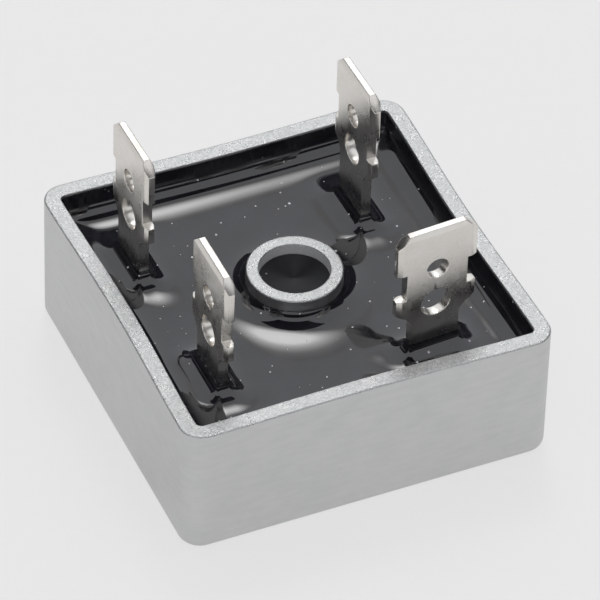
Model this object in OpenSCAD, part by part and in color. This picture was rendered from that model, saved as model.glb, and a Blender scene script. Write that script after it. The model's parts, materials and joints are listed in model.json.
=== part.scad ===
// Bridge rectifier: a square aluminium can with a screw tube through its middle, filled with black
// potting, with four flat push-on tabs standing out of it.  Four silicon dies sit between two lower
// and two upper copper plates inside the potting.
// Millimetres, +Z up, origin at the middle of the can's flat underside.  +Y is the side the minus tab
// and one AC tab stand on; the plus tab stands at +X -Y.

/* [Can] */
// width of the square can over its flat sides
can_w = 28.5; // [27.6:0.1:31]
// height of the can from its underside to its rim
can_h = 11; // [10.6:0.1:14]
// thickness of the can's side walls
wall_t = 1.25; // [0.8:0.05:1.6]
// thickness of the can's floor
floor_t = 2; // [1.4:0.1:2.6]
// outside radius of the can's four upright corners
corner_r = 1.7; // [0.9:0.1:2.6]
// radius of the rolled edge round the can's underside
base_edge_r = 0.7; // [0.3:0.05:0.85]
// inside radius of the can's four upright corners
inner_corner_r = 0.4; // [0.2:0.05:1]
// bevel on the outer edge of the rim
rim_bevel = 0.15; // [0.05:0.01:0.3]

/* [Screw tube] */
// outside diameter of the tube in the middle of the can
tube_d = 7.1; // [6.4:0.1:8]
// diameter of the screw hole through the tube
bore_d = 5.2; // [4.2:0.1:5.6]
// height of the tube's top above the can's underside
tube_h = 10.5; // [9.8:0.05:11]
// bevel on the edges of the tube and of its hole
tube_bevel = 0.15; // [0.05:0.01:0.3]

/* [Potting] */
// height of the potting's level surface above the can's underside
level_h = 8.5; // [8:0.05:8.6]
// height over its level to which the potting climbs the walls
wall_rise = 1.25; // [0.8:0.05:1.25]
// height over its level to which the potting climbs the tube
tube_rise = 1.05; // [0.5:0.05:1.2]
// height over its level to which the potting climbs each tab
tab_rise = 1.2; // [0.5:0.05:1.25]
// length over which each climb falls away
climb_l = 0.9; // [0.9:0.02:1.1]
// height over its level of the film that the potting left on the walls
film_h = 2.38; // [1.5:0.02:2.4]
// thickness of that film
film_t = 0.06; // [0.05:0.01:0.1]

/* [Tabs] */
// thickness of the tab metal
tab_t = 0.8; // [0.6:0.05:0.9]
// width of the push-on head
tab_w = 6.35; // [5.6:0.05:6.6]
// width of the stem under the head
stem_w = 3.8; // [3:0.05:4.2]
// width of the waist between the head and the shoulders
waist_w = 4.85; // [4.5:0.05:5.2]
// length of the head, from the tab's end to the waist
head_l = 3.5; // [3.1:0.05:3.7]
// distance of the shoulders from the tab's end
shoulder_l = 5.85; // [5.1:0.05:6]
// length of the shoulders
shoulder_t = 1.75; // [1.2:0.05:1.9]
// length of the slope from the shoulders down to the stem
slope_l = 0.65; // [0.5:0.05:0.9]
// corner cut across the head's end
end_cut = 0.95; // [0.5:0.05:1.2]
// width of the bevel round the head's edges
edge_bevel_w = 0.4; // [0.15:0.05:0.45]
// depth of that bevel on each face
edge_bevel_t = 0.16; // [0.05:0.01:0.2]
// diameter of the catch hole in the head
catch_hole_d = 1.7; // [1.4:0.05:2]
// distance of the catch hole from the tab's end
catch_hole_l = 3.65; // [3.5:0.05:4]
// diameter of the wire hole in the stem's shoulders
wire_hole_d = 2.35; // [1.8:0.05:2.5]
// distance of the wire hole from the tab's end
wire_hole_l = 6.8; // [6.6:0.05:7.2]
// length of the foot turned out under each stem, over the bend
foot_l = 3.4; // [2.8:0.05:3.5]
// inside radius of the bend between stem and foot
bend_r = 0.4; // [0.2:0.05:0.6]

/* [Tab places] */
// minus tab, place across the can
minus_x = -9.85; // [-10:0.05:-9.2]
// minus tab, place along the can
minus_y = 6.5; // [5.9:0.05:7.5]
// minus tab, height of its end
minus_top = 20.6; // [19.5:0.05:23]
// minus tab, turn about its stem
minus_turn = -89; // [-93:0.5:-87]
// first AC tab, place across the can
ac1_x = -9.1; // [-9.6:0.05:-8.6]
// first AC tab, place along the can
ac1_y = -6.35; // [-7.2:0.05:-5.6]
// first AC tab, height of its end
ac1_top = 20; // [19.5:0.05:23]
// first AC tab, turn about its stem
ac1_turn = -90; // [-93:0.5:-87]
// second AC tab, place across the can
ac2_x = 7.45; // [7.2:0.05:8.2]
// second AC tab, place along the can
ac2_y = 6.15; // [5.6:0.05:7.2]
// second AC tab, height of its end
ac2_top = 21.4; // [19.5:0.05:23]
// second AC tab, turn about its stem
ac2_turn = -89; // [-93:0.5:-87]
// plus tab, place across the can
plus_x = 6.65; // [6.2:0.05:7.5]
// plus tab, place along the can
plus_y = -9.2; // [-9.8:0.05:-8.8]
// plus tab, height of its end
plus_top = 19.95; // [19.5:0.05:23]
// plus tab, turn about its stem
plus_turn = 3.5; // [-3:0.5:5]

/* [Inside] */
// thickness of the insulating sheet on the can's floor
sheet_t = 0.3; // [0.15:0.05:0.5]
// gap between the insulating sheet and the can's walls
sheet_gap = 0.4; // [0.2:0.05:0.8]
// gap between the insulating sheet's hole and the tube
sheet_hole_gap = 0.25; // [0.1:0.05:0.6]
// thickness of the copper plates
plate_t = 0.6; // [0.4:0.05:0.8]
// width of the copper plates' arms
plate_w = 6; // [5.8:0.05:6.2]
// gap between the copper plates' outer edges and the can's walls
plate_gap = 1.4; // [1:0.05:1.6]
// radius of the copper plates' corners
plate_r = 0.6; // [0.2:0.05:1]
// how far each arm runs on past the edge of its die
plate_past = 0.6; // [0.3:0.05:0.8]
// width of the square silicon dies
die_w = 4.6; // [3.6:0.1:5]
// thickness of the silicon dies
die_t = 0.3; // [0.2:0.02:0.4]
// how far the solder stays back from a die's edges
solder_back = 0.15; // [0.05:0.05:0.4]
// thickness of the solder layers
solder_t = 0.1; // [0.06:0.01:0.16]
// how far the solder under a tab's foot spreads past the foot
solder_spread = 0.25; // [0.1:0.05:0.3]

/* [Hidden] */
$fn = 64;
round_fn = 28;
cav = can_w / 2 - wall_t;
over = 1;
dip = 0.03;
root = 0.2;
rim_gap = 0.1;
film_up = min(film_h, can_h - level_h - rim_gap);
tube_up = min(tube_rise, tube_h - level_h - rim_gap);
climb_steps = 7;
climb_ease = 1.5;
tail_h = 0.06;
tail_l = 1;
plate_out = cav - plate_gap;
plate_in = plate_out - plate_w;
arm_end = die_w / 2 + plate_past;
die_at = plate_out - plate_w / 2;
low_z = floor_t + sheet_t;
low_top = low_z + plate_t;
die_z = low_top + solder_t;
die_top = die_z + die_t;
up_z = die_top + solder_t;
up_top = up_z + plate_t;
low_foot_z = low_top + solder_t;
up_foot_z = up_top + solder_t;
bend_out = bend_r + tab_t;
can_color = [0.80, 0.80, 0.80];
potting_color = [0.06, 0.06, 0.07];
tab_color = [0.82, 0.80, 0.77];
sheet_color = [0.86, 0.84, 0.70];
copper_color = [0.80, 0.50, 0.34];
die_color = [0.35, 0.36, 0.42];
solder_color = [0.66, 0.67, 0.69];

// ---- plane shapes ----

// a square with round corners, centred
module round_square(w, r) {
    square([w - 2 * r, w], center = true);
    square([w, w - 2 * r], center = true);
    for (sx = [-1, 1], sy = [-1, 1])
        translate([sx * (w / 2 - r), sy * (w / 2 - r)])
            circle(r);
}

// a rectangle with round corners from (x0, y0) to (x1, y1)
module round_rect(x0, y0, x1, y1, r) {
    translate([x0 + r, y0])
        square([x1 - x0 - 2 * r, y1 - y0]);
    translate([x0, y0 + r])
        square([x1 - x0, y1 - y0 - 2 * r]);
    for (x = [x0 + r, x1 - r], y = [y0 + r, y1 - r])
        translate([x, y])
            circle(r);
}

// half of the can's upright section: flat foot, rolled lower edge, bevelled rim
module can_half_section(half) {
    translate([half - base_edge_r, base_edge_r])
        circle(base_edge_r);
    square([half - base_edge_r, base_edge_r + over]);
    translate([0, base_edge_r])
        polygon([
            [0, 0], [half, 0], [half, can_h - base_edge_r - rim_bevel],
            [half - rim_bevel, can_h - base_edge_r], [0, can_h - base_edge_r]
        ]);
}

// ---- the can ----

// the can's outside as a solid block
module can_block() {
    run = can_w - 2 * corner_r;
    for (a = [0, 90])
        rotate([0, 0, a])
            translate([-run / 2, 0, 0])
                rotate([90, 0, 90])
                    linear_extrude(run) {
                        can_half_section(can_w / 2);
                        mirror([1, 0])
                            can_half_section(can_w / 2);
                    }
    for (sx = [-1, 1], sy = [-1, 1])
        translate([sx * run / 2, sy * run / 2, 0])
            rotate_extrude()
                intersection() {
                    can_half_section(corner_r);
                    square([corner_r + over, can_h + over]);
                }
}

// the tube's outside, with a bevel at its top
module tube_block() {
    rotate_extrude()
        polygon([
            [0, 0], [tube_d / 2, 0], [tube_d / 2, tube_h - tube_bevel],
            [tube_d / 2 - tube_bevel, tube_h], [0, tube_h]
        ]);
}

// the screw hole, with a bevel at both ends
module bore() {
    br = bore_d / 2;
    rotate_extrude()
        polygon([
            [0, -over], [br + tube_bevel + over, -over], [br, tube_bevel],
            [br, tube_h - tube_bevel], [br + tube_bevel + over, tube_h + over], [0, tube_h + over]
        ]);
}

module can() {
    color(can_color)
        difference() {
            can_block();
            difference() {
                translate([0, 0, floor_t])
                    linear_extrude(can_h)
                        round_square(2 * cav, inner_corner_r);
                tube_block();
            }
            bore();
        }
}

// ---- tabs ----

// a tab's face outline, end at z = 0, stem running down by "run"
module tab_face(run) {
    hw = tab_w / 2;
    ww = waist_w / 2;
    sw = stem_w / 2;
    low = shoulder_l + shoulder_t;
    difference() {
        polygon([
            [-hw + end_cut, 0], [hw - end_cut, 0], [hw, -end_cut], [hw, -head_l], [ww, -head_l],
            [ww, -shoulder_l], [hw, -shoulder_l], [hw, -low + edge_bevel_w], [ww, -low],
            [sw, -low - slope_l], [sw, -run], [-sw, -run], [-sw, -low - slope_l],
            [-ww, -low], [-hw, -low + edge_bevel_w], [-hw, -shoulder_l], [-ww, -shoulder_l],
            [-ww, -head_l], [-hw, -head_l], [-hw, -end_cut]
        ]);
        translate([0, -catch_hole_l])
            circle(d = catch_hole_d);
        translate([0, -wire_hole_l])
            circle(d = wire_hole_d);
    }
}

// section across the head: full thickness in the middle, bevelled at both side edges
module head_section() {
    hw = tab_w / 2;
    ht = tab_t / 2;
    polygon([
        [-hw, -ht + edge_bevel_t], [-hw + edge_bevel_w, -ht], [hw - edge_bevel_w, -ht],
        [hw, -ht + edge_bevel_t], [hw, ht - edge_bevel_t], [hw - edge_bevel_w, ht],
        [-hw + edge_bevel_w, ht], [-hw, ht - edge_bevel_t]
    ]);
}

// section along the blade, end at z = 0: bevelled at its end
module end_section(run) {
    ht = tab_t / 2;
    polygon([
        [-ht, -run], [ht, -run], [ht, -edge_bevel_w], [ht - edge_bevel_t, 0],
        [-ht + edge_bevel_t, 0], [-ht, -edge_bevel_w]
    ]);
}

// the blade of a tab, end at z = 0, facing along Y
module blade(run) {
    intersection() {
        rotate([90, 0, 0])
            translate([0, 0, -tab_t])
                linear_extrude(2 * tab_t)
                    tab_face(run);
        translate([0, 0, -run - over])
            linear_extrude(run + 2 * over)
                head_section();
        translate([-tab_w, 0, 0])
            rotate([90, 0, 90])
                linear_extrude(2 * tab_w)
                    end_section(run);
    }
}

// the bend and foot under a stem; foot's underside at z = 0, foot running out along +Y
module foot() {
    bend_y = tab_t / 2 + bend_r;
    translate([-stem_w / 2, 0, 0])
        rotate([90, 0, 90])
            linear_extrude(stem_w) {
                intersection() {
                    translate([bend_y, bend_out])
                        difference() {
                            circle(bend_out);
                            circle(bend_r);
                        }
                    translate([-tab_t / 2, 0])
                        square([bend_out, bend_out]);
                }
                translate([bend_y, 0])
                    square([foot_l - bend_out, tab_t]);
            }
}

// a whole tab with its foot's underside at height "seat" and its end at height "top"
module tab(seat, top) {
    translate([0, 0, top])
        blade(top - seat - bend_out);
    translate([0, 0, seat])
        foot();
}

// the foot's patch of solder, top at height "seat"
module foot_solder(seat) {
    translate([-stem_w / 2 - solder_spread, tab_t / 2 + bend_r - solder_spread, seat - solder_t])
        cube([stem_w + 2 * solder_spread, foot_l - bend_out + 2 * solder_spread, solder_t]);
}

module at_minus() {
    translate([minus_x, minus_y, 0])
        rotate([0, 0, minus_turn])
            children();
}

module at_ac1() {
    translate([ac1_x, ac1_y, 0])
        rotate([0, 0, ac1_turn])
            children();
}

module at_ac2() {
    translate([ac2_x, ac2_y, 0])
        rotate([0, 0, ac2_turn])
            children();
}

module at_plus() {
    translate([plus_x, plus_y, 0])
        rotate([0, 0, plus_turn])
            children();
}

module minus_tab() {
    color(tab_color)
        at_minus()
            tab(low_foot_z, minus_top);
}

module ac1_tab() {
    color(tab_color)
        at_ac1()
            tab(up_foot_z, ac1_top);
}

module ac2_tab() {
    color(tab_color)
        at_ac2()
            tab(up_foot_z, ac2_top);
}

module plus_tab() {
    color(tab_color)
        at_plus()
            tab(low_foot_z, plus_top);
}

module solder_minus() {
    color(solder_color)
        at_minus()
            foot_solder(low_foot_z);
}

module solder_ac1() {
    color(solder_color)
        at_ac1()
            foot_solder(up_foot_z);
}

module solder_ac2() {
    color(solder_color)
        at_ac2()
            foot_solder(up_foot_z);
}

module solder_plus() {
    color(solder_color)
        at_plus()
            foot_solder(low_foot_z);
}

// ---- sheet, plates, dies ----

module insulating_sheet() {
    color(sheet_color)
        translate([0, 0, floor_t])
            linear_extrude(sheet_t)
                difference() {
                    round_square(2 * (cav - sheet_gap), inner_corner_r);
                    circle(d = tube_d + 2 * sheet_hole_gap);
                }
}

// a copper plate with its corner at +X +Y and one arm along each side
module plate(z) {
    translate([0, 0, z])
        linear_extrude(plate_t) {
            round_rect(-arm_end, plate_in, plate_out, plate_out, plate_r);
            round_rect(plate_in, -arm_end, plate_out, plate_out, plate_r);
        }
}

module minus_plate() {
    color(copper_color)
        rotate([0, 0, 90])
            plate(low_z);
}

module plus_plate() {
    color(copper_color)
        rotate([0, 0, -90])
            plate(low_z);
}

module ac1_plate() {
    color(copper_color)
        rotate([0, 0, 180])
            plate(up_z);
}

module ac2_plate() {
    color(copper_color)
        plate(up_z);
}

// a die, turned round to the side at angle "a" from +X
module die(a) {
    color(die_color)
        rotate([0, 0, a])
            translate([die_at - die_w / 2, -die_w / 2, die_z])
                cube([die_w, die_w, die_t]);
}

// a layer of solder on a die's face, underside at height "z"
module die_solder(a, z) {
    w = die_w - 2 * solder_back;
    color(solder_color)
        rotate([0, 0, a])
            translate([die_at - w / 2, -w / 2, z])
                cube([w, w, solder_t]);
}

module die_north() {
    die(90);
}

module die_east() {
    die(0);
}

module die_south() {
    die(-90);
}

module die_west() {
    die(180);
}

module solder_under_north() {
    die_solder(90, low_top);
}

module solder_under_east() {
    die_solder(0, low_top);
}

module solder_under_south() {
    die_solder(-90, low_top);
}

module solder_under_west() {
    die_solder(180, low_top);
}

module solder_over_north() {
    die_solder(90, die_top);
}

module solder_over_east() {
    die_solder(0, die_top);
}

module solder_over_south() {
    die_solder(-90, die_top);
}

module solder_over_west() {
    die_solder(180, die_top);
}

// ---- potting ----

// inverse hyperbolic cosine
function arcosh(t) = ln(t + sqrt(t * t - 1));

// a still liquid's curve: how far from the face it climbs by "rise" it has fallen to height "z"
function climb_out(rise, z) =
    climb_l * (arcosh(2 * climb_l / z) - arcosh(2 * climb_l / rise)
    - sqrt(4 - pow(z / climb_l, 2)) + sqrt(4 - pow(rise / climb_l, 2)));

// section of the climb up a face at x = "face", from x = "back" behind it; it runs out under the level
module climb_section(back, face, rise) {
    end = face + climb_out(rise, tail_h) + tail_l;
    polygon(concat(
        [[back, -over], [back, rise]],
        [
            for (i = [0:climb_steps])
                let (z = tail_h + (rise - tail_h) * pow(1 - i / climb_steps, climb_ease))
                    [face + climb_out(rise, z), z]
        ],
        [[end, -dip], [end, -over]]
    ));
}

// the film left on the walls, as a frame round the room inside it
module wall_film() {
    difference() {
        translate([-can_w / 2, -can_w / 2, -over])
            cube([can_w, can_w, film_up + over]);
        translate([0, 0, -2 * over])
            linear_extrude(film_up + 3 * over)
                round_square(2 * (cav - film_t), inner_corner_r - film_t);
    }
}

// the potting drawn up the four walls
module wall_climb() {
    for (a = [0, 90, 180, 270])
        rotate([0, 0, a])
            translate([-cav, cav + over, 0])
                rotate([90, 0, 0])
                    linear_extrude(2 * (cav + over))
                        climb_section(-over, film_t, wall_rise);
}

// the potting drawn up the tube
module tube_climb() {
    rotate_extrude($fn = round_fn)
        climb_section(tube_d / 2 - root, tube_d / 2, tube_up);
}

// the potting drawn up a stem
module tab_climb() {
    long = stem_w - 2 * root;
    short = tab_t - 2 * root;
    for (a = [0, 180])
        rotate([0, 0, a]) {
            translate([stem_w / 2, short / 2, 0])
                rotate([90, 0, 0])
                    linear_extrude(short)
                        climb_section(-root, 0, tab_rise);
            translate([-long / 2, tab_t / 2, 0])
                rotate([90, 0, 90])
                    linear_extrude(long)
                        climb_section(-root, 0, tab_rise);
        }
    for (sx = [-1, 1], sy = [-1, 1])
        translate([sx * long / 2, sy * short / 2, 0])
            rotate_extrude($fn = round_fn)
                climb_section(0, root, tab_rise);
}

module potting() {
    color(potting_color)
        difference() {
            intersection() {
                union() {
                    translate([-can_w / 2, -can_w / 2, 0])
                        cube([can_w, can_w, level_h]);
                    translate([0, 0, level_h]) {
                        wall_film();
                        wall_climb();
                        tube_climb();
                        at_minus()
                            tab_climb();
                        at_ac1()
                            tab_climb();
                        at_ac2()
                            tab_climb();
                        at_plus()
                            tab_climb();
                    }
                }
                translate([0, 0, floor_t])
                    linear_extrude(can_h)
                        round_square(2 * cav, inner_corner_r);
            }
            cylinder(d = tube_d, h = 2 * can_h);
            insulating_sheet();
            minus_tab();
            ac1_tab();
            ac2_tab();
            plus_tab();
            minus_plate();
            plus_plate();
            ac1_plate();
            ac2_plate();
            for (a = [0, 90, 180, 270]) {
                die(a);
                die_solder(a, low_top);
                die_solder(a, die_top);
            }
            solder_minus();
            solder_ac1();
            solder_ac2();
            solder_plus();
        }
}

can();
potting();
insulating_sheet();
minus_tab();
ac1_tab();
ac2_tab();
plus_tab();
minus_plate();
plus_plate();
ac1_plate();
ac2_plate();
die_north();
die_east();
die_south();
die_west();
solder_under_north();
solder_under_east();
solder_under_south();
solder_under_west();
solder_over_north();
solder_over_east();
solder_over_south();
solder_over_west();
solder_minus();
solder_ac1();
solder_ac2();
solder_plus();
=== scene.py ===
import json
import math

import bmesh
import bpy
import numpy as np
from mathutils import Matrix, Vector, noise
from mathutils.geometry import delaunay_2d_cdt


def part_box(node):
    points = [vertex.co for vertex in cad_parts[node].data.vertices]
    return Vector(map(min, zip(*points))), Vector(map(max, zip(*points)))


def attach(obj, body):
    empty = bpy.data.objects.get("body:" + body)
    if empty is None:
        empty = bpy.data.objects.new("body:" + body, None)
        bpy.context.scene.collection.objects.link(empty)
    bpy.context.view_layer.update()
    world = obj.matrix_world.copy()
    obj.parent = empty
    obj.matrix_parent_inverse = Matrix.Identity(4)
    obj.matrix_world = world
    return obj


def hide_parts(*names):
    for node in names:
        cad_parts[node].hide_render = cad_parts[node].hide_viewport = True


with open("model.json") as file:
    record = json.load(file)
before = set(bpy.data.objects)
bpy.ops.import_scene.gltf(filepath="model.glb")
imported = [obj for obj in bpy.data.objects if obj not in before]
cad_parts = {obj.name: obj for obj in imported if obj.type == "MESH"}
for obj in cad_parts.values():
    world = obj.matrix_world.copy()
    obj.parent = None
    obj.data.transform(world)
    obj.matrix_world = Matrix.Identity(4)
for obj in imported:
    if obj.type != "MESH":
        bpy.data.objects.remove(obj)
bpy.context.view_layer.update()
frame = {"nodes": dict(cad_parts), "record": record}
nodes = frame["nodes"]

# ---- sizes in mm, the same as the part's source ----
MM = 0.001
CAN_LOW, CAN_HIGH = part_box("can")
HALF = (CAN_HIGH.x - CAN_LOW.x) / 2 / MM
RIM_Z = CAN_HIGH.z / MM
WALL_T = 1.25
FLOOR_T = 2.0
CORNER_R = 1.7
BASE_EDGE_R = 0.7
INNER_CORNER_R = 0.4
CAV = HALF - WALL_T
TUBE_R = 3.55
BORE_R = 2.6
TUBE_H = 10.5
LEVEL = 8.5
STEM_W, TAB_T = 3.8, 0.8
# each tab's turn in degrees; its place comes from its mount in the record
TURNS = {"minus_tab": -89, "ac1_tab": -90, "ac2_tab": -89, "plus_tab": 3.5}
mounts = {m["name"]: m["pos_m"] for m in frame["record"]["mounts"]}
blades = {name: mounts[name + "_blade"] for name in TURNS}
TABS = {name: (blades[name][0] / MM, blades[name][1] / MM, turn) for name, turn in TURNS.items()}

# ---- how the real can and potting differ from plain solids, in mm ----
BOW = (0.26, 0.23, 0.28, 0.21)  # how far each wall's rim bows in: +X, +Y, -X, -Y
BOW_GROWTH = 1.5  # above 1 the bow comes on late, towards the rim
RIM_ROUND = 0.15
EDGE_ROUND = 0.08
CAPILLARY = 0.9  # length over which a rise in the potting's surface falls away
FILM_T = 0.06  # a thin skin of potting clings to the walls above its climb
FILM_H = 2.38
WALL_RISE = 1.25
TUBE_RISE = 1.05
TAB_RISE = 1.2
BLEND = 1.6  # 1 adds the rises up, more runs them together ever more sharply
SKIN_DROP = 0.05  # the skin's upper edge lies this far below FILM_H
SKIN_UNEVEN = 0.10  # and, at places, up to this much more
SKIN_WAVE = 3.1  # length of its unevenness
SKIN_FULL = 0.75  # share of the skin's thickness that has its full height
TOP_GAP = 0.09  # the potting stays this far below the rim


def mesh_object(name, bm, materials):
    """A finished piece that rides on the part's one body."""
    mesh = bpy.data.meshes.new(name)
    bm.to_mesh(mesh)
    bm.free()
    for m in materials:
        mesh.materials.append(m)
    obj = bpy.data.objects.new(name, mesh)
    bpy.context.scene.collection.objects.link(obj)
    for p in mesh.polygons:
        p.use_smooth = True
    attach(obj, "root")
    return obj


def weighted(obj):
    """Flat faces keep flat shading beside small rounds."""
    mod = obj.modifiers.new("normals", "WEIGHTED_NORMAL")
    mod.keep_sharp = True
    mod.weight = 80


# ---- materials ----

# places of a colour mix node's sockets
MIX_SHARE, MIX_A, MIX_B, MIX_COLOUR = 0, 6, 7, 2


class Look:
    """A material's node tree, with short calls to add to it."""

    def __init__(self, name, **sockets):
        self.mat = bpy.data.materials.new(name)
        self.mat.use_nodes = True
        self.tree = self.mat.node_tree
        self.bsdf = self.tree.nodes["Principled BSDF"]
        self.coords = self.add("ShaderNodeTexCoord").outputs["Object"]
        for key, value in sockets.items():
            self.bsdf.inputs[key.replace("_", " ")].default_value = value

    def add(self, kind, **settings):
        """A node of this kind in the tree."""
        node = self.tree.nodes.new(kind)
        for key, value in settings.items():
            setattr(node, key, value)
        return node

    def join(self, out, into):
        self.tree.links.new(out, into)

    def stretch(self, x, y, z):
        """The object's coordinates, scaled along each axis."""
        node = self.add("ShaderNodeMapping")
        self.join(self.coords, node.inputs["Vector"])
        node.inputs["Scale"].default_value = (x, y, z)
        return node.outputs["Vector"]

    def noise(self, scale, detail, rough, vector=None):
        """Smooth noise of this scale, as a value from 0 to 1."""
        node = self.add("ShaderNodeTexNoise")
        node.inputs["Scale"].default_value = scale
        node.inputs["Detail"].default_value = detail
        node.inputs["Roughness"].default_value = rough
        self.join(vector or self.coords, node.inputs["Vector"])
        return node.outputs["Fac"]

    def ramp(self, value, *stops):
        """Colour or grey by value: stops are (position, (r, g, b)) or (position, grey)."""
        node = self.add("ShaderNodeValToRGB")
        self.join(value, node.inputs["Fac"])
        elements = node.color_ramp.elements
        while len(elements) < len(stops):
            elements.new(0.5)
        for element, (at, colour) in zip(elements, stops):
            rgb = colour if isinstance(colour, tuple) else (colour,) * 3
            element.position = at
            element.color = (*rgb, 1)
        return node.outputs["Color"]

    def math(self, operation, a, b):
        """The outcome of a sum on two values, each a socket or a number."""
        node = self.add("ShaderNodeMath", operation=operation)
        for socket, value in zip(node.inputs, (a, b)):
            if isinstance(value, (int, float)):
                socket.default_value = value
            else:
                self.join(value, socket)
        return node.outputs["Value"]

    def mix(self, share, a, b):
        """Colour a where the share is 0, colour b where it is 1."""
        node = self.add("ShaderNodeMix", data_type="RGBA")
        for socket, value in ((MIX_SHARE, share), (MIX_A, a), (MIX_B, b)):
            if isinstance(value, tuple):
                node.inputs[socket].default_value = (*value, 1)
            else:
                self.join(value, node.inputs[socket])
        return node.outputs[MIX_COLOUR]

    def bump(self, height, depth, strength, under=None):
        """A bump this many mm deep, on top of another one if given."""
        node = self.add("ShaderNodeBump")
        node.inputs["Distance"].default_value = depth * MM
        node.inputs["Strength"].default_value = strength
        self.join(height, node.inputs["Height"])
        if under is not None:
            self.join(under, node.inputs["Normal"])
        return node.outputs["Normal"]

    def put(self, socket, value):
        """The value into one of the surface's sockets."""
        self.join(value, self.bsdf.inputs[socket])


def satin_aluminium():
    """The can's sides: a dull machine-tumbled skin with faint smudges and fine scratches."""
    look = Look("satin_aluminium", Metallic=1.0)
    smudge = look.noise(260, 4, 0.6)
    drag = look.noise(420, 3, 0.6, look.stretch(1.0, 1.0, 5.0))
    shade = look.math("ADD", look.math("MULTIPLY", smudge, 0.6), look.math("MULTIPLY", drag, 0.4))
    look.put("Base Color", look.ramp(
        shade, (0.30, (0.56, 0.565, 0.565)), (0.52, (0.62, 0.625, 0.62)), (0.72, (0.67, 0.67, 0.66)),
    ))
    grain = look.noise(7000, 2, 0.6)
    look.put("Roughness", look.ramp(smudge, (0.3, 0.36), (0.7, 0.5)))
    scratch = look.noise(1500, 4, 0.7, look.stretch(1.0, 1.0, 9.0))
    fine = look.bump(grain, 0.006, 0.5)
    lines = look.ramp(scratch, (0.60, 0.0), (0.70, 1.0))
    look.put("Normal", look.bump(lines, 0.004, 0.4, fine))
    return look.mat


def blasted_aluminium():
    """The rim and the tube's end: cut, then blasted to a bright sparkle."""
    look = Look("blasted_aluminium", Metallic=1.0)
    grit = look.noise(9500, 3, 0.75)
    patch = look.noise(900, 3, 0.6)
    look.put("Base Color", look.ramp(
        grit, (0.34, (0.36, 0.37, 0.38)), (0.48, (0.50, 0.505, 0.50)), (0.62, (0.66, 0.66, 0.65)),
    ))
    look.put("Roughness", look.ramp(patch, (0.3, 0.24), (0.7, 0.34)))
    look.put("Normal", look.bump(grit, 0.05, 0.8))
    return look.mat


def bored_aluminium():
    """The screw hole's wall: evenly dull grey."""
    look = Look("bored_aluminium", Metallic=0.6)
    grit = look.noise(9000, 3, 0.7)
    look.put("Base Color", look.ramp(grit, (0.3, 0.66), (0.7, (0.82, 0.82, 0.81))))
    look.put("Roughness", look.ramp(grit, (0.3, 0.55), (0.7, 0.7)))
    look.put("Normal", look.bump(grit, 0.02, 0.5))
    return look.mat


def dust_specks(look, scale, size, share):
    """Round specks, one at most in each cell: up to this size, left out in this share of cells."""
    cell = look.add("ShaderNodeTexVoronoi")
    cell.inputs["Scale"].default_value = scale
    look.join(look.coords, cell.inputs["Vector"])
    split = look.add("ShaderNodeSeparateColor")
    look.join(cell.outputs["Color"], split.inputs["Color"])
    radius = look.math("MULTIPLY", split.outputs["Green"], size)
    near = look.math("LESS_THAN", cell.outputs["Distance"], radius)
    kept = look.math("GREATER_THAN", split.outputs["Red"], share)
    return look.math("MULTIPLY", near, kept)


def black_epoxy():
    """The potting: glossy black, with fine white dust on it."""
    look = Look("black_epoxy", IOR=1.68)
    fine, coarse = dust_specks(look, 1500, 0.12, 0.3), dust_specks(look, 800, 0.1, 0.4)
    dust = look.math("MAXIMUM", fine, coarse)
    haze = look.noise(500, 4, 0.6)
    body = look.ramp(haze, (0.3, (0.010, 0.010, 0.013)), (0.75, (0.022, 0.022, 0.027)))
    gloss = look.ramp(haze, (0.35, 0.03), (0.75, 0.07))
    look.put("Base Color", look.mix(dust, body, (0.75, 0.76, 0.78)))
    look.put("Roughness", look.mix(dust, gloss, (0.6, 0.6, 0.6)))
    look.put("Normal", look.bump(dust, 0.01, 0.6))
    return look.mat


def tin_plate():
    """The tabs: dull warm tin, with faint handling marks."""
    look = Look("tin_plate", Metallic=1.0)
    cloud = look.noise(700, 4, 0.6)
    look.put("Base Color", look.ramp(
        cloud, (0.30, (0.68, 0.645, 0.60)), (0.55, (0.755, 0.725, 0.685)), (0.75, (0.80, 0.78, 0.75)),
    ))
    look.put("Roughness", look.ramp(cloud, (0.3, 0.24), (0.7, 0.34)))
    grain = look.noise(3800, 3, 0.6)
    streak = look.noise(1300, 4, 0.7, look.stretch(6.0, 6.0, 1.0))
    fine = look.bump(grain, 0.006, 0.5)
    look.put("Normal", look.bump(streak, 0.006, 0.4, fine))
    return look.mat


def speckled(name, dark, light, scale, rough, metallic):
    """A plain procedural finish for a piece inside the potting."""
    look = Look(name, Metallic=metallic)
    grain = look.noise(scale, 4, 0.6)
    look.put("Base Color", look.ramp(grain, (0.3, dark), (0.7, light)))
    look.put("Roughness", look.ramp(grain, (0.3, rough), (0.7, rough + 0.12)))
    look.put("Normal", look.bump(grain, 0.005, 0.5))
    return look.mat


# ---- the can ----

SIDE_N = 44  # points along each side of a ring
ARC_N = 12  # points round each of its corners
SATIN, BLASTED, BORED = 0, 1, 2  # the can's finishes, in the order of its materials
FOOT_IN = 0.3  # from the foot's rounded edge to the next ring in
RIM_OFFSETS = (0.22, 0.40, 0.6, 0.8, 1.0, 1.12)  # rings across the flat of the rim
TUBE_END_RADII = (3.3, 3.1, 2.95, 2.82)  # and across the tube's end


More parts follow.
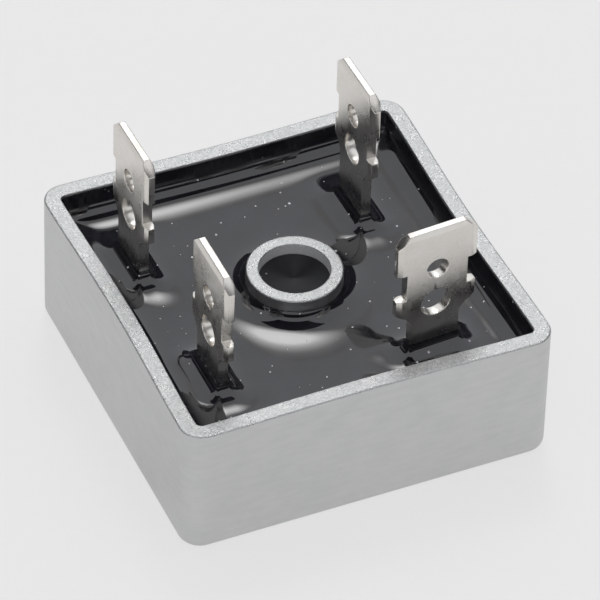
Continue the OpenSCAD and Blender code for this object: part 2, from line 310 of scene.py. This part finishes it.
def square_ring(half, r, z):
    """Points round a square with round corners, its sides bowed in towards the rim."""
    lift = max(0.0, (z - FLOOR_T) / (RIM_Z - FLOOR_T)) ** BOW_GROWTH
    points = []
    for q in range(4):
        a = q * math.pi / 2
        out = np.array((math.cos(a), math.sin(a)))
        along = np.array((-math.sin(a), math.cos(a)))
        for i in range(SIDE_N):
            s = 2 * i / SIDE_N - 1
            inward = BOW[q] * lift * (1 - s * s) ** 2
            points.append(out * (half - inward) + along * s * (half - r))
        for i in range(ARC_N):
            t = a + math.pi / 2 * i / ARC_N
            points.append((out + along) * (half - r) + r * np.array((math.cos(t), math.sin(t))))
    return [(p[0], p[1], z) for p in points]


def circle_ring(r, z):
    """As many points round a circle, each in line with the square's."""
    return [
        (r * x / math.hypot(x, y), r * y / math.hypot(x, y), z)
        for x, y, _ in square_ring(HALF, CORNER_R, 0)
    ]


def wall_ring(offset, z):
    """Points round the can, this far in from its outside."""
    return square_ring(HALF - offset, CORNER_R - offset, z)


def quarter(n):
    """A quarter round in n steps: (1 - cos, sin) from 0 to a right angle."""
    turns = [math.pi / 2 * i / n for i in range(n + 1)]
    return [(1 - math.cos(t), math.sin(t)) for t in turns]


def can_rings():
    """The can's section as rings of points with their finish: foot, outside, rim, cavity, tube, hole."""
    foot, rim, lip = quarter(8), quarter(4)[1:], quarter(3)[:-1]
    rim_low, tube_low = RIM_Z - RIM_ROUND, TUBE_H - RIM_ROUND
    rings = [(circle_ring(BORE_R + RIM_ROUND, 0), BORED)]
    rings += [(wall_ring(BASE_EDGE_R + FOOT_IN, 0), SATIN)]
    rings += [(wall_ring(BASE_EDGE_R * (1 - up), BASE_EDGE_R * side), SATIN) for side, up in foot]
    rings += [(wall_ring(0, z), SATIN) for z in np.linspace(BASE_EDGE_R, rim_low, 14)[1:]]
    rings += [(wall_ring(RIM_ROUND * side, rim_low + RIM_ROUND * up), BLASTED) for side, up in rim]
    rings += [(wall_ring(offset, RIM_Z), BLASTED) for offset in RIM_OFFSETS]
    rings += [
        (wall_ring(WALL_T - EDGE_ROUND * (1 - up), RIM_Z - EDGE_ROUND * side), BLASTED)
        for side, up in lip
    ]
    rings += [
        (square_ring(CAV, INNER_CORNER_R, z), SATIN)
        for z in np.linspace(RIM_Z - EDGE_ROUND, FLOOR_T, 14)
    ]
    rings += [(circle_ring(TUBE_R, z), SATIN) for z in np.linspace(FLOOR_T, tube_low, 6)]
    rings += [
        (circle_ring(TUBE_R - RIM_ROUND * side, tube_low + RIM_ROUND * up), BLASTED)
        for side, up in rim
    ]
    rings += [(circle_ring(r, TUBE_H), BLASTED) for r in TUBE_END_RADII]
    rings += [
        (circle_ring(BORE_R + EDGE_ROUND * (1 - up), TUBE_H - EDGE_ROUND * side), BLASTED)
        for side, up in lip
    ]
    rings += [(circle_ring(BORE_R, z), BORED) for z in np.linspace(TUBE_H - EDGE_ROUND, RIM_ROUND, 6)]
    return rings


def build_can(*finishes):
    """The can with its tube in one closed skin, which runs round the section and back to its start."""
    bm = bmesh.new()
    rings = can_rings()
    made = [([bm.verts.new(Vector(p) * MM) for p in ring], finish) for ring, finish in rings]
    for (a, a_finish), (b, b_finish) in zip(made, made[1:] + made[:1]):
        for k in range(len(a)):
            after = (k + 1) % len(a)
            f = bm.faces.new((a[k], a[after], b[after], b[k]))
            f.material_index = min(a_finish, b_finish)
    bmesh.ops.recalc_face_normals(bm, faces=bm.faces)
    can = mesh_object("case", bm, finishes)
    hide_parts("can")
    weighted(can)


# ---- the potting ----


LOWEST_RISE = 0.0005  # where the climb is taken to have come down to the level
RISE_STEPS = 4000


def flat_rise(distance, rise):
    """Height of a liquid's surface above its level, at a distance from a flat wall it climbs."""
    heights = np.linspace(rise, LOWEST_RISE, RISE_STEPS) / CAPILLARY
    reach = np.arccosh(2 / heights) - np.sqrt(4 - heights**2)
    reach -= reach[0]
    return np.interp(distance / CAPILLARY, reach, heights * CAPILLARY, right=0.0)


CREASE_L = 0.8  # from here on inwards the creases between the walls' climbs are fully smoothed


def from_wall(x, y):
    """Distance inwards from the can's inner walls, and the same with its creases smoothed."""
    gaps = np.stack([CAV - x, CAV + x, CAV - y, CAV + y]).clip(1e-4)
    smooth = (gaps**-4.0).sum(0) ** -0.25
    dx = np.abs(x) - (CAV - INNER_CORNER_R)
    dy = np.abs(y) - (CAV - INNER_CORNER_R)
    plain = INNER_CORNER_R - np.hypot(dx.clip(0), dy.clip(0)) - np.minimum(np.maximum(dx, dy), 0)
    share = (plain / CREASE_L).clip(0, 1)
    share = share * share * (3 - 2 * share)
    return plain, plain + (smooth - plain) * share


def from_tab(x, y, place):
    """Distance outwards from a tab's stem."""
    px, py, turn = place
    t = math.radians(turn)
    u = (x - px) * math.cos(t) + (y - py) * math.sin(t)
    v = -(x - px) * math.sin(t) + (y - py) * math.cos(t)
    du = np.abs(u) - STEM_W / 2
    dv = np.abs(v) - TAB_T / 2
    return np.hypot(du.clip(0), dv.clip(0)) + np.minimum(np.maximum(du, dv), 0)


def wall_rise(x, y):
    """The skin on the walls with its uneven upper edge, and the climb at its foot."""
    plain, smooth = from_wall(x, y)
    uneven = [noise.noise(Vector((a / SKIN_WAVE, b / SKIN_WAVE, 0.5))) for a, b in zip(x, y)]
    skin = FILM_H - SKIN_DROP - SKIN_UNEVEN * np.abs(uneven)
    climb = flat_rise((smooth - FILM_T).clip(0), WALL_RISE)
    share = ((plain / FILM_T - SKIN_FULL) / (1 - SKIN_FULL)).clip(0, 1)
    return skin + (climb - skin) * share


def surface(x, y):
    """Height of the potting's surface: the rises towards the walls, tube and stems run together."""
    rises = [
        wall_rise(x, y),
        flat_rise((np.hypot(x, y) - TUBE_R).clip(0), TUBE_RISE),
    ]
    for place in TABS.values():
        rises.append(flat_rise(from_tab(x, y, place).clip(0), TAB_RISE))
    z = LEVEL + (np.stack(rises) ** BLEND).sum(0) ** (1 / BLEND)
    return np.minimum(z, RIM_Z - TOP_GAP)


BOW_REACH = 3.0  # past this distance from a wall its bow moves nothing


def bowed(x, y, z):
    """The points moved in with the bowed walls, less and less away from them."""
    lift = ((z - FLOOR_T) / (RIM_Z - FLOOR_T)).clip(0, 1) ** BOW_GROWTH
    moved = [x.copy(), y.copy()]
    for q, (axis, sign) in enumerate(((0, 1), (1, 1), (0, -1), (1, -1))):
        here, there = (x, y) if axis == 0 else (y, x)
        near = (1 - (CAV - sign * here) / BOW_REACH).clip(0, 1)
        s = (there / (CAV - INNER_CORNER_R)).clip(-1, 1)
        moved[axis] -= sign * BOW[q] * lift * near * (1 - s * s) ** 2
    return moved[0], moved[1]


# distances from the walls, and from the tube and the stems, of rows of points
WALL_ROWS = np.array([
    0.02, 0.045, 0.06, 0.075, 0.095, 0.12, 0.15, 0.19, 0.24, 0.3,
    0.37, 0.45, 0.54, 0.65, 0.78, 0.93, 1.1, 1.3, 1.5,
])
POST_ROWS = np.array([
    0.012, 0.028, 0.048, 0.075, 0.11, 0.15, 0.2, 0.26, 0.33, 0.41, 0.5, 0.6, 0.72, 0.86, 1.02, 1.2,
])
POST_STEP = 0.14  # along a row round the tube
STEM_STEP, STEM_ARC_STEP = 0.13, 0.12  # along a row round a stem, and round its corners
POST_ROWS_END = 1.3  # the plain grid starts this far from the tube and the stems
GRID_EDGES = (1.7, 1.6)  # and this far from the walls, at its first and its last line
GRID_STEP = 0.2
CLEAR = 0.01  # no point lies nearer than this to what the surface climbs


def clear_of(x, y, wall, post):
    """Which points are more than these distances from the walls, and from the tube and stems."""
    keep = (from_wall(x, y)[0] > wall) & (np.hypot(x, y) - TUBE_R > post)
    for place in TABS.values():
        keep &= from_tab(x, y, place) > post
    return keep


def surface_points():
    """Points over the surface, close together where it climbs something."""
    middle = np.arange(-CAV + GRID_EDGES[0], CAV - GRID_EDGES[1], GRID_STEP)
    line = np.concatenate([-CAV + WALL_ROWS, middle, CAV - WALL_ROWS])
    gx, gy = [g.ravel() for g in np.meshgrid(line, line)]
    keep = clear_of(gx, gy, CLEAR, POST_ROWS_END)
    found = [np.stack([gx[keep], gy[keep]], 1)]
    for row in POST_ROWS:
        r = TUBE_R + row
        t = np.arange(0, 2 * math.pi, POST_STEP / r)
        found.append(np.stack([r * np.cos(t), r * np.sin(t)], 1))
        for px, py, turn in TABS.values():
            found.append(stem_ring(px, py, turn, row))
    points = np.concatenate(found)
    return points[clear_of(*points.T, CLEAR, CLEAR)]


def stem_ring(px, py, turn, offset):
    """Points round a tab's stem, at a distance from it."""
    points = []
    for sx, sy, a in ((1, 1, 0), (-1, 1, 90), (-1, -1, 180), (1, -1, 270)):
        corner = np.array((sx * STEM_W / 2, sy * TAB_T / 2))
        n = max(3, int(offset * math.pi / 2 / STEM_ARC_STEP))
        for i in range(n + 1):
            t = math.radians(a + 90 * i / n)
            points.append(corner + offset * np.array((math.cos(t), math.sin(t))))
    ring = []
    for p, q in zip(points, points[1:] + points[:1]):
        n = max(1, int(np.linalg.norm(q - p) / STEM_STEP))
        ring += [p + (q - p) * i / n for i in range(n)]
    t = math.radians(turn)
    turned = np.array(ring) @ np.array([[math.cos(t), math.sin(t)], [-math.sin(t), math.cos(t)]])
    return turned + np.array((px, py))


CUT_Z = 8.0  # the solid is kept up to here
EDGE_STEP = 0.15  # longest piece of the edges round the cut, about
HARD_EDGE = math.radians(50)
TUBE_NEAR = 0.1


def lower_part():
    """The potting's solid cut off below its surface, and the edges round the cut."""
    bm = bmesh.new()
    bm.from_mesh(nodes["potting"].data)
    bmesh.ops.remove_doubles(bm, verts=bm.verts, dist=1e-7)
    bmesh.ops.bisect_plane(
        bm, geom=bm.verts[:] + bm.edges[:] + bm.faces[:], dist=1e-8,
        plane_co=(0, 0, CUT_Z * MM), plane_no=(0, 0, 1), clear_outer=True,
    )
    for e in [e for e in bm.edges if e.is_boundary]:
        parts = int(e.calc_length() / (EDGE_STEP * MM))
        if parts > 1:
            bmesh.ops.subdivide_edges(bm, edges=[e], cuts=parts - 1)
    return bm, [e for e in bm.edges if e.is_boundary]


def build_potting(epoxy):
    """The solid's own lower part with a new surface: it keeps its room for what is inside."""
    bm, rim = lower_part()
    low = sorted({v for e in rim for v in e.verts}, key=lambda v: v.index)
    place = {v: i for i, v in enumerate(low)}
    loop = np.array([v.co[:2] for v in low]) / MM
    edge = np.hypot(*loop.T)
    # the solid's tube has flat sides: its points move out to the true round
    on_tube = edge < TUBE_R + TUBE_NEAR
    loop[on_tube] *= (TUBE_R / edge[on_tube])[:, None]
    flat = [Vector(p) for p in np.concatenate([loop, surface_points()])]
    sides = [(place[e.verts[0]], place[e.verts[1]]) for e in rim]
    verts, _, faces, came, _, _ = delaunay_2d_cdt(flat, sides, [], 2, 1e-5)
    x, y = np.array([v[:] for v in verts]).T
    z = surface(x, y)
    x, y = bowed(x, y, z)
    top = [bm.verts.new((a * MM, b * MM, c * MM)) for a, b, c in zip(x, y, z)]
    new = {i: j for j, ids in enumerate(came) for i in ids}
    for f in faces:
        bm.faces.new([top[i] for i in f])
    for e in rim:
        a, b = e.verts
        bm.faces.new((a, b, top[new[place[b]]], top[new[place[a]]]))
    moved_x, moved_y = bowed(*loop.T, np.full(len(low), CUT_Z))
    for v, bx, by in zip(low, moved_x, moved_y):
        v.co.x, v.co.y = bx * MM, by * MM
    bmesh.ops.recalc_face_normals(bm, faces=bm.faces)
    for e in bm.edges:
        if len(e.link_faces) == 2 and e.calc_face_angle(0) > HARD_EDGE:
            e.smooth = False
    obj = mesh_object("potting_fill", bm, [epoxy])
    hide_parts("potting")


# ---- the tabs ----


STAMPED_EDGE = math.radians(14)  # edges sharper than this are rounded
STAMPED_ROUND = 0.055


def build_tab(name, tin):
    """The solid's own form with its stamped edges softened."""
    bm = bmesh.new()
    bm.from_mesh(nodes[name].data)
    bmesh.ops.remove_doubles(bm, verts=bm.verts, dist=1e-7)
    bmesh.ops.dissolve_limit(bm, angle_limit=math.radians(0.4), verts=bm.verts, edges=bm.edges)
    sharp = [e for e in bm.edges if len(e.link_faces) == 2 and e.calc_face_angle(0) > STAMPED_EDGE]
    bmesh.ops.bevel(
        bm, geom=sharp, offset=STAMPED_ROUND * MM, offset_type="OFFSET", segments=3, profile=0.5,
        affect="EDGES", clamp_overlap=True,
    )
    obj = mesh_object(name + "_blade", bm, [tin])
    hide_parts(name)
    weighted(obj)


# ---- the pieces ----

build_can(satin_aluminium(), blasted_aluminium(), bored_aluminium())
build_potting(black_epoxy())
tin = tin_plate()
for tab in TABS:
    build_tab(tab, tin)

# what is inside the potting keeps its solid and gets its look by its name
inner_looks = {
    "sheet": speckled("glass_cloth", (0.62, 0.58, 0.42), (0.74, 0.71, 0.56), 2600, 0.6, 0.0),
    "_plate": speckled("plated_copper", (0.55, 0.30, 0.19), (0.72, 0.42, 0.28), 1800, 0.3, 1.0),
    "die_": speckled("silicon", (0.16, 0.17, 0.21), (0.24, 0.25, 0.30), 3000, 0.2, 0.6),
    "solder_": speckled("solder", (0.45, 0.46, 0.48), (0.62, 0.63, 0.65), 2400, 0.3, 1.0),
}
for name, node in nodes.items():
    for part, look in inner_looks.items():
        if part in name:
            slots = node.data.materials
            if len(slots):
                slots[0] = look
            else:
                slots.append(look)

# ---- the studio: all its lengths are in metres ----

# the camera: its turn about the part, its height and its tilt, and what it looks at
AZIMUTH, ELEVATION, ROLL = (math.radians(a) for a in (-24.80, 42.63, 1.88))
DISTANCE = 0.4206
AIM = Vector((1.315, 1.769, 5.434)) * MM
LENS = 347.05
SENSOR = 36

# across the view, away from the camera along the table, up, and back towards the camera
RIGHT = Vector((math.cos(AZIMUTH), math.sin(AZIMUTH), 0))
AWAY = Vector((-math.sin(AZIMUTH), math.cos(AZIMUTH), 0))
UPRIGHT = Vector((0, 0, 1))
BACK = -AWAY * math.cos(ELEVATION) + UPRIGHT * math.sin(ELEVATION)

PAPER_GLOW = 0.75  # share of its own light in what the camera and mirrors see of the paper
SOFTBOX_AWAY, SOFTBOX_LEFT, SOFTBOX_Z = 0.372, 0.02, 0.6
SOFTBOX_HALF = (0.126, 0.228)
SOFTBOX_STRENGTH = 8.4
TOP_CARD_Z = 0.55
TOP_CARD_W = 0.33
WORLD_STRENGTH = 1.08


def add_camera():
    """The camera, with its picture turned a little about the line of view."""
    camera = bpy.data.objects.new("camera", bpy.data.cameras.new("camera"))
    camera.data.sensor_width = SENSOR
    camera.data.lens = LENS
    camera.data.clip_start, camera.data.clip_end = 0.01, 20
    level_up = BACK.cross(RIGHT)
    right = RIGHT * math.cos(ROLL) + level_up * math.sin(ROLL)
    up = level_up * math.cos(ROLL) - RIGHT * math.sin(ROLL)
    axes = Matrix((right, up, BACK)).transposed().to_4x4()
    camera.matrix_world = Matrix.Translation(AIM + BACK * DISTANCE) @ axes
    bpy.context.scene.collection.objects.link(camera)
    bpy.context.scene.camera = camera


def plane(name, centre, width, depth, look):
    """A flat piece of the studio, its depth in line with the camera's view."""
    bm = bmesh.new()
    for sx, sy in ((-1, -1), (1, -1), (1, 1), (-1, 1)):
        bm.verts.new((sx * width / 2, sy * depth / 2, 0))
    bm.verts.ensure_lookup_table()
    bm.faces.new(bm.verts)
    mesh = bpy.data.meshes.new(name)
    bm.to_mesh(mesh)
    bm.free()
    mesh.materials.append(look)
    obj = bpy.data.objects.new(name, mesh)
    obj.location = centre
    obj.rotation_euler = (0, 0, AZIMUTH)
    bpy.context.scene.collection.objects.link(obj)
    return obj


def paper():
    """Pale paper. Camera and mirror rays see it mostly by its own light, and its shadow stays."""
    look = Look("paper", Roughness=0.9)
    grain = look.noise(900, 3, 0.6)
    look.put("Base Color", look.ramp(grain, (0.3, (0.83, 0.83, 0.835)), (0.7, (0.86, 0.86, 0.865))))
    sight = look.add("ShaderNodeLightPath")
    seen = look.math("MAXIMUM", sight.outputs["Is Camera Ray"], sight.outputs["Is Glossy Ray"])
    seen = look.math("MAXIMUM", seen, sight.outputs["Is Transmission Ray"])
    glow = look.add("ShaderNodeEmission")
    glow.inputs["Color"].default_value = (0.868, 0.865, 0.865, 1)
    blend = look.add("ShaderNodeMixShader")
    look.join(look.math("MULTIPLY", seen, PAPER_GLOW), blend.inputs["Fac"])
    look.join(look.bsdf.outputs["BSDF"], blend.inputs[1])
    look.join(glow.outputs["Emission"], blend.inputs[2])
    look.join(blend.outputs["Shader"], look.tree.nodes["Material Output"].inputs["Surface"])
    return look.mat


def dark_card():
    """Black card, which the glossy potting shows the edges of."""
    look = Look("dark_card", Roughness=0.9)
    look.put("Base Color", look.ramp(look.noise(40, 2, 0.5), (0.3, 0.004), (0.7, 0.008)))
    return look.mat


def softbox():
    """A light that is brightest in its middle and fades out to its edges."""
    look = Look("softbox")
    look.tree.nodes.remove(look.bsdf)
    emission = look.add("ShaderNodeEmission")
    disc = look.add("ShaderNodeTexGradient", gradient_type="SPHERICAL")
    look.join(look.stretch(1 / SOFTBOX_HALF[0], 1 / SOFTBOX_HALF[1], 1), disc.inputs["Vector"])
    fade = look.ramp(
        disc.outputs["Fac"], (0.0, 0.11), (0.12, 0.16), (0.36, 0.5), (0.55, 0.9), (1.0, 1.0),
    )
    look.join(look.math("MULTIPLY", fade, SOFTBOX_STRENGTH), emission.inputs["Strength"])
    look.join(emission.outputs["Emission"], look.tree.nodes["Material Output"].inputs["Surface"])
    return look.mat


def standing_card(name, turn, width, foot, top, look):
    """A card facing the part, a metre off, its edges at these angles above the table."""
    out = AWAY * math.cos(math.radians(turn)) + RIGHT * math.sin(math.radians(turn))
    low, high = (math.tan(math.radians(a)) for a in (foot, top))
    flag = plane(name, out + UPRIGHT * (low + high) / 2, width, high - low, look)
    across = out.cross(UPRIGHT)
    flag.rotation_euler = Matrix((across, UPRIGHT, out)).transposed().to_euler()
    return flag


add_camera()
plane("table_top", Vector((0, 0, 0)), 6, 6, paper())

# what stands round the part or hangs over it is never in the picture itself
card = dark_card()
unseen = [
    standing_card("flag_left", -45, 1.35, 0, 30, card),
    standing_card("flag_right", 45, 1.35, 0, 30, card),
    standing_card("flag_far_left", -90, 1.0, 0, 40, card),
    standing_card("flag_far_right", 90, 1.0, 0, 40, card),
    standing_card("flag_near", 180, 3.6, 26, 50, card),
    plane("top_card", UPRIGHT * TOP_CARD_Z, TOP_CARD_W, TOP_CARD_W, card),
    plane(
        "softbox", AWAY * SOFTBOX_AWAY - RIGHT * SOFTBOX_LEFT + UPRIGHT * SOFTBOX_Z,
        2 * SOFTBOX_HALF[0], 2 * SOFTBOX_HALF[1], softbox(),
    ),
]
for obj in unseen:
    obj.visible_camera = False

world = bpy.data.worlds.new("studio")
bpy.context.scene.world = world
world.use_nodes = True
background = world.node_tree.nodes["Background"]
background.inputs["Color"].default_value = (0.95, 0.97, 1.0, 1)
background.inputs["Strength"].default_value = WORLD_STRENGTH

bpy.context.scene.view_settings.view_transform = "Standard"
